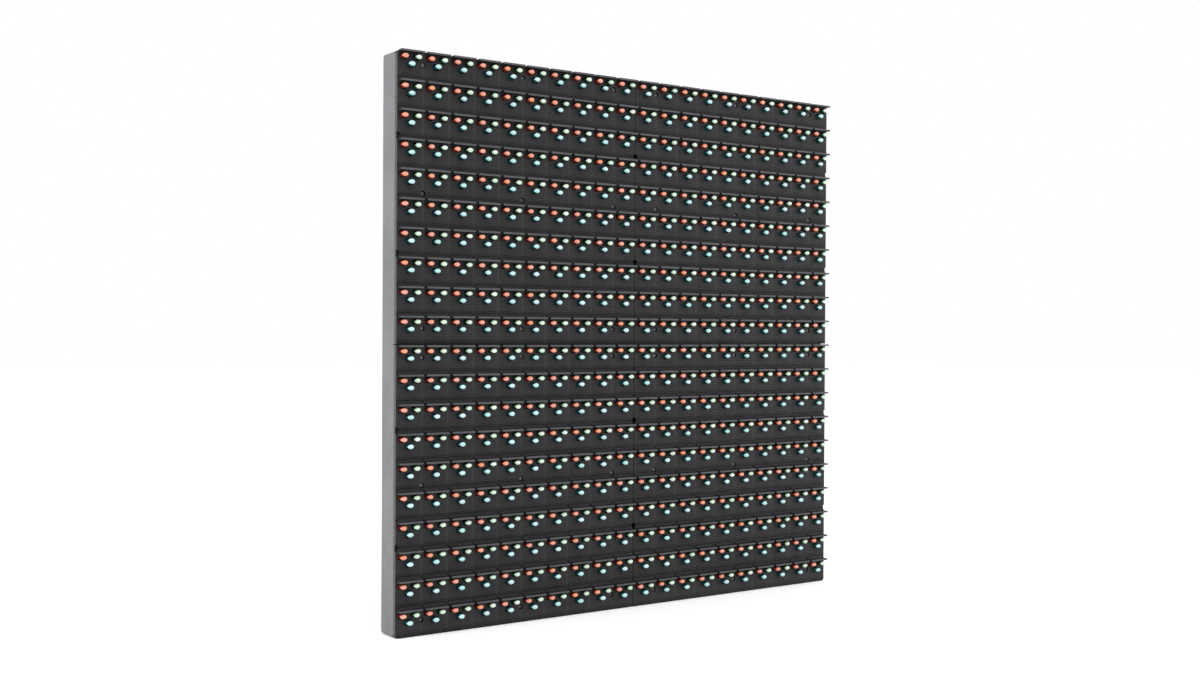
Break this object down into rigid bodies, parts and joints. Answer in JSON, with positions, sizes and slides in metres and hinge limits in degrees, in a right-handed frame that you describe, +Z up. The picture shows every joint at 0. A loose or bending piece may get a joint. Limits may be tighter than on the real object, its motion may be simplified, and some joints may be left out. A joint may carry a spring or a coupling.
{
  "type": "led display module",
  "caption": "Square outdoor LED pixel module: visored black masks over red, green and blue lamps, a ribbed grey rear housing, and quarter-turn front latches.",
  "frame": {"origin": "centre of the bounding box in X and Y, at the bottom edge that the module stands on", "axes": "+X to the viewer's right, +Y from the lamps towards the rear, +Z up"},
  "size_m": [0.3194, 0.0288, 0.3195],
  "materials": {
    "mask_plastic": "moulded black polycarbonate with a fine ribbed face, slightly greyed",
    "red_epoxy": "diffused red-tinted epoxy, unlit",
    "green_epoxy": "diffused green-tinted epoxy, unlit",
    "blue_epoxy": "diffused blue-tinted epoxy, unlit",
    "gel": "black silicone potting",
    "laminate": "glass-epoxy laminate with green solder mask",
    "housing_plastic": "mid-grey moulded plastic, fine satin",
    "gasket_rubber": "black foam rubber",
    "screw_steel": "blackened steel screws",
    "brass": "plain brass",
    "contact_brass": "gold-flashed contact pins",
    "chip_plastic": "black moulded chip bodies",
    "resistor_ceramic": "thick-film chips",
    "capacitor_ceramic": "sintered ceramic with tinned ends",
    "base_plastic": "black moulded bases",
    "can_aluminium": "drawn aluminium cans",
    "header_plastic": "black moulded shrouds",
    "connector_nylon": "natural white nylon",
    "tinned_steel": "tinned contact pins",
    "plated_steel": "zinc-plated steel"
  },
  "bodies": {
    "module": {"mask_top_left": "mask_plastic", "mask_top_right": "mask_plastic", "mask_bottom_left": "mask_plastic", "mask_bottom_right": "mask_plastic", "red_lamps": "red_epoxy", "green_lamps": "green_epoxy", "blue_lamps": "blue_epoxy", "sealing_gel": "gel", "circuit_board": "laminate", "housing": "housing_plastic", "rear_gasket": "gasket_rubber", "mask_screws": "screw_steel", "threaded_inserts": "brass", "guide_pins": "brass", "driver_chips": "chip_plastic", "buffer_chips": "chip_plastic", "decoder_chip": "chip_plastic", "scan_switches": "chip_plastic", "chip_resistors": "resistor_ceramic", "ceramic_capacitors": "capacitor_ceramic", "capacitor_bases": "base_plastic", "capacitor_cans": "can_aluminium", "data_in_header": "header_plastic", "data_out_header": "header_plastic", "header_pins": "contact_brass", "power_connector": "connector_nylon", "power_pins": "tinned_steel"},
    "upper_latch": {"upper_shaft": "plated_steel", "upper_arm": "plated_steel", "upper_nut": "plated_steel"},
    "lower_latch": {"lower_shaft": "plated_steel", "lower_arm": "plated_steel", "lower_nut": "plated_steel"}
  },
  "joints": [
    {"name": "upper_latch_turn", "type": "hinge", "parent": "module", "child": "upper_latch", "pos_m": [0, 0.00185, 0.2732], "axis": [0, 1, 0], "range_deg": [0, 90]},
    {"name": "lower_latch_turn", "type": "hinge", "parent": "module", "child": "lower_latch", "pos_m": [0, 0.00185, 0.0492], "axis": [0, 1, 0], "range_deg": [0, 90]}
  ]
}
